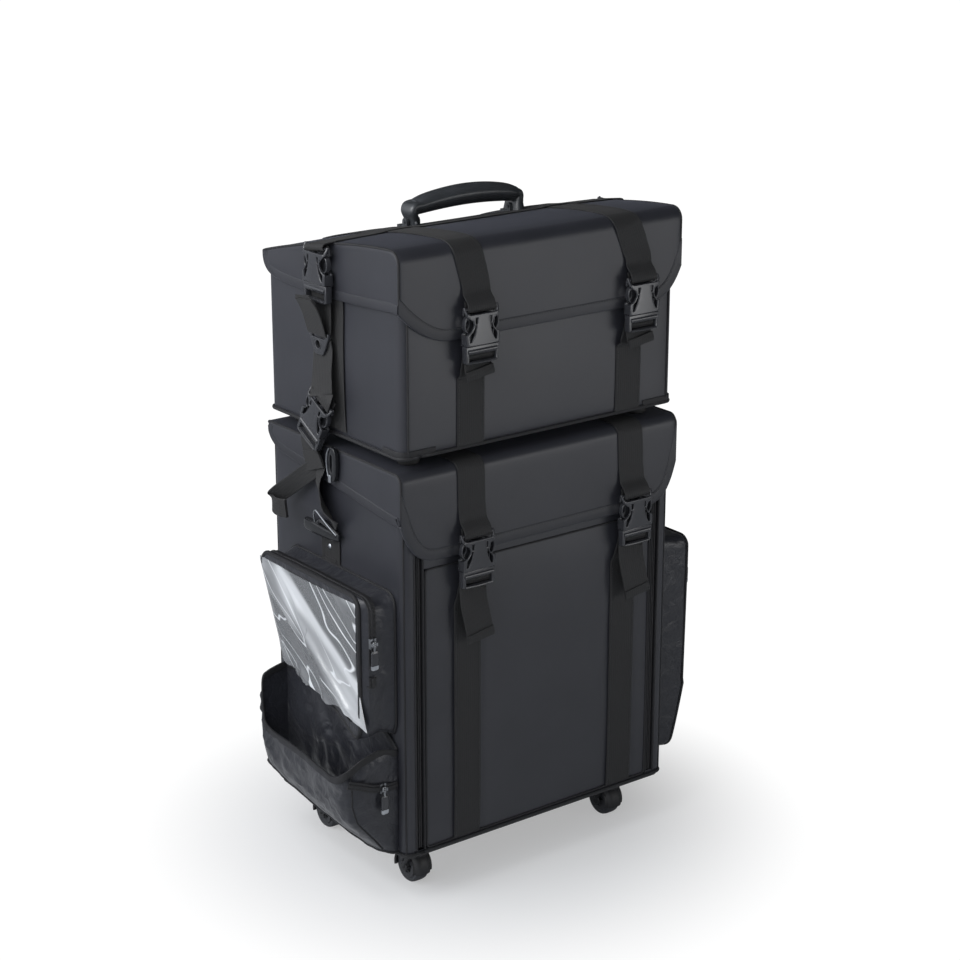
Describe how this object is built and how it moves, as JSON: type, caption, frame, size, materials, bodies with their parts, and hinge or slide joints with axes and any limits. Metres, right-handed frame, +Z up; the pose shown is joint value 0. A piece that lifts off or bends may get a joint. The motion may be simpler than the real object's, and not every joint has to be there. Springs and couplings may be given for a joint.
{
  "type": "rolling case",
  "caption": "Two-piece soft-sided rolling case: a lift-off upper case strapped to a wheeled lower case with a drop-front door and drawers.",
  "frame": {"origin": "on the floor under the middle of the case", "axes": "+Z up, +X to the right seen from the front, +Y from the front door to the trolley handle"},
  "size_m": [0.5543, 0.331, 0.8174],
  "materials": {
    "case_nylon": "satin coated nylon",
    "pocket_nylon": "crinkled nylon",
    "webbing": "ribbed webbing",
    "buckle_plastic": "glossy moulded",
    "frame_plastic": "moulded",
    "button_plastic": "moulded",
    "zip_coil": "woven coil",
    "slider_metal": "plated",
    "clear_vinyl": "clear flexible sheet",
    "tray_board": "plain",
    "tube_aluminium": "satin",
    "plate_steel": "zinc plated",
    "rubber_feet": "matt",
    "wheel_rubber": "matt",
    "handle_leather": "glossy padded"
  },
  "bodies": {
    "lower_case": {"lower_shell": "case_nylon", "base_pan": "frame_plastic", "caster_plates": "plate_steel", "zipper_tapes": "zip_coil", "drawer_rack": "tray_board", "window_pocket": "pocket_nylon", "window_sheet": "clear_vinyl", "bellows_pocket": "pocket_nylon", "tall_pocket": "pocket_nylon", "lower_side_straps": "webbing", "lower_side_plugs": "buckle_plastic", "side_clips": "buckle_plastic", "strap_rivets": "slider_metal", "handle_housing": "frame_plastic", "outer_tubes": "tube_aluminium", "back_straps": "webbing"},
    "upper_case": {"upper_shell": "case_nylon", "upper_feet": "rubber_feet", "upper_straps": "webbing", "upper_plugs": "buckle_plastic", "side_rings": "buckle_plastic", "chain_sockets": "buckle_plastic"},
    "lower_lid": {"lower_lid": "case_nylon", "lower_lid_straps": "webbing", "lower_lid_sockets": "buckle_plastic"},
    "front_door": {"front_door": "case_nylon", "door_straps": "webbing", "door_plugs": "buckle_plastic", "strap_tails": "webbing"},
    "upper_lid": {"upper_lid": "case_nylon", "upper_lid_straps": "webbing", "upper_lid_sockets": "buckle_plastic", "handle_brackets": "buckle_plastic"},
    "carry_handle": {"carry_handle": "handle_leather"},
    "middle_tubes": {"middle_tubes": "tube_aluminium"},
    "trolley_handle": {"inner_tubes": "tube_aluminium", "trolley_grip": "frame_plastic"},
    "release_button": {"release_button": "button_plastic"},
    "drawer_low": {"drawer_low": "tray_board"},
    "drawer_middle": {"drawer_middle": "tray_board"},
    "drawer_top": {"drawer_top": "tray_board"},
    "zip_slider_left": {"zip_slider_left": "slider_metal"},
    "zip_slider_right": {"zip_slider_right": "slider_metal"},
    "window_slider": {"window_slider": "slider_metal"},
    "window_pull": {"window_pull": "slider_metal"},
    "bellows_slider": {"bellows_slider": "slider_metal"},
    "bellows_pull": {"bellows_pull": "slider_metal"},
    "tall_slider": {"tall_slider": "slider_metal"},
    "tall_pull": {"tall_pull": "slider_metal"},
    "fork_front_left": {"fork_front_left": "frame_plastic"},
    "wheel_front_left": {"wheel_front_left": "wheel_rubber"},
    "fork_front_right": {"fork_front_right": "frame_plastic"},
    "wheel_front_right": {"wheel_front_right": "wheel_rubber"},
    "fork_rear_left": {"fork_rear_left": "frame_plastic"},
    "wheel_rear_left": {"wheel_rear_left": "wheel_rubber"},
    "fork_rear_right": {"fork_rear_right": "frame_plastic"},
    "wheel_rear_right": {"wheel_rear_right": "wheel_rubber"}
  },
  "joints": [
    {"name": "upper_lift", "type": "slide", "parent": "lower_case", "child": "upper_case", "axis": [0, -0.4848, 0.8746], "range_m": [0, 0.55]},
    {"name": "lower_lid_hinge", "type": "hinge", "parent": "lower_case", "child": "lower_lid", "pos_m": [0, 0.136, 0.5293], "axis": [-1, 0, 0], "range_deg": [0, 90]},
    {"name": "front_door_hinge", "type": "hinge", "parent": "lower_case", "child": "front_door", "pos_m": [0, -0.1352, 0.0693], "axis": [1, 0, 0], "range_deg": [0, 95]},
    {"name": "upper_lid_hinge", "type": "hinge", "parent": "upper_case", "child": "upper_lid", "pos_m": [0, 0.136, 0.7352], "axis": [-1, 0, 0], "range_deg": [0, 105]},
    {"name": "carry_handle_swing", "type": "hinge", "parent": "upper_lid", "child": "carry_handle", "pos_m": [0, 0.016, 0.78152], "axis": [1, 0, 0], "range_deg": [-50, 50]},
    {"name": "drawer_low_slide", "type": "slide", "parent": "lower_case", "child": "drawer_low", "axis": [0, -1, 0], "range_m": [0, 0.185]},
    {"name": "drawer_middle_slide", "type": "slide", "parent": "lower_case", "child": "drawer_middle", "axis": [0, -1, 0], "range_m": [0, 0.185]},
    {"name": "drawer_top_slide", "type": "slide", "parent": "lower_case", "child": "drawer_top", "axis": [0, -1, 0], "range_m": [0, 0.185]},
    {"name": "middle_tube_slide", "type": "slide", "parent": "lower_case", "child": "middle_tubes", "axis": [0, 0, 1], "range_m": [0, 0.24]},
    {"name": "inner_tube_slide", "type": "slide", "parent": "middle_tubes", "child": "trolley_handle", "axis": [0, 0, 1], "range_m": [0, 0.24]},
    {"name": "release_button_press", "type": "slide", "parent": "trolley_handle", "child": "release_button", "axis": [0, 0, -1], "range_m": [0, 0.003], "stiffness_N_per_m": 400, "springref_m": -0.002},
    {"name": "zip_left_slide", "type": "slide", "parent": "lower_case", "child": "zip_slider_left", "axis": [0, 0, -1], "range_m": [0, 0.355]},
    {"name": "zip_right_slide", "type": "slide", "parent": "lower_case", "child": "zip_slider_right", "axis": [0, 0, -1], "range_m": [0, 0.355]},
    {"name": "window_slider_slide", "type": "slide", "parent": "lower_case", "child": "window_slider", "axis": [0, 0, 1], "range_m": [-0.055, 0.035]},
    {"name": "bellows_slider_slide", "type": "slide", "parent": "lower_case", "child": "bellows_slider", "axis": [-1, 0, 0], "range_m": [-0.018, 0.035]},
    {"name": "tall_slider_slide", "type": "slide", "parent": "lower_case", "child": "tall_slider", "axis": [0, 1, 0], "range_m": [0, 0.16]},
    {"name": "window_pull_swing", "type": "hinge", "parent": "window_slider", "child": "window_pull", "pos_m": [-0.233, -0.1283, 0.34137], "axis": [-1, 0, 0], "range_deg": [0, 150]},
    {"name": "bellows_pull_swing", "type": "hinge", "parent": "bellows_slider", "child": "bellows_pull", "pos_m": [-0.22218, -0.1283, 0.15875], "axis": [-1, 0, 0], "range_deg": [0, 150]},
    {"name": "tall_pull_swing", "type": "hinge", "parent": "tall_slider", "child": "tall_pull", "pos_m": [0.2763, -0.0832, 0.3182], "axis": [0, -1, 0], "range_deg": [0, 150]},
    {"name": "swivel_front_left", "type": "hinge", "parent": "lower_case", "child": "fork_front_left", "pos_m": [-0.15, -0.09, 0.05], "axis": [0, 0, 1], "continuous": true},
    {"name": "roll_front_left", "type": "hinge", "parent": "fork_front_left", "child": "wheel_front_left", "pos_m": [-0.15, -0.081, 0.0215], "axis": [1, 0, 0], "continuous": true},
    {"name": "swivel_front_right", "type": "hinge", "parent": "lower_case", "child": "fork_front_right", "pos_m": [0.15, -0.09, 0.05], "axis": [0, 0, 1], "continuous": true},
    {"name": "roll_front_right", "type": "hinge", "parent": "fork_front_right", "child": "wheel_front_right", "pos_m": [0.15, -0.081, 0.0215], "axis": [1, 0, 0], "continuous": true},
    {"name": "swivel_rear_left", "type": "hinge", "parent": "lower_case", "child": "fork_rear_left", "pos_m": [-0.15, 0.09, 0.05], "axis": [0, 0, 1], "continuous": true},
    {"name": "roll_rear_left", "type": "hinge", "parent": "fork_rear_left", "child": "wheel_rear_left", "pos_m": [-0.15, 0.099, 0.0215], "axis": [1, 0, 0], "continuous": true},
    {"name": "swivel_rear_right", "type": "hinge", "parent": "lower_case", "child": "fork_rear_right", "pos_m": [0.15, 0.09, 0.05], "axis": [0, 0, 1], "continuous": true},
    {"name": "roll_rear_right", "type": "hinge", "parent": "fork_rear_right", "child": "wheel_rear_right", "pos_m": [0.15, 0.099, 0.0215], "axis": [1, 0, 0], "continuous": true}
  ],
  "couplings": [
    {"joint": "lower_lid_hinge", "follows": "upper_lift", "rad_per_m": 2.856},
    {"joint": "drawer_low_slide", "follows": "front_door_hinge", "m_per_rad": 0.11},
    {"joint": "drawer_middle_slide", "follows": "front_door_hinge", "m_per_rad": 0.11},
    {"joint": "drawer_top_slide", "follows": "front_door_hinge", "m_per_rad": 0.11}
  ]
}
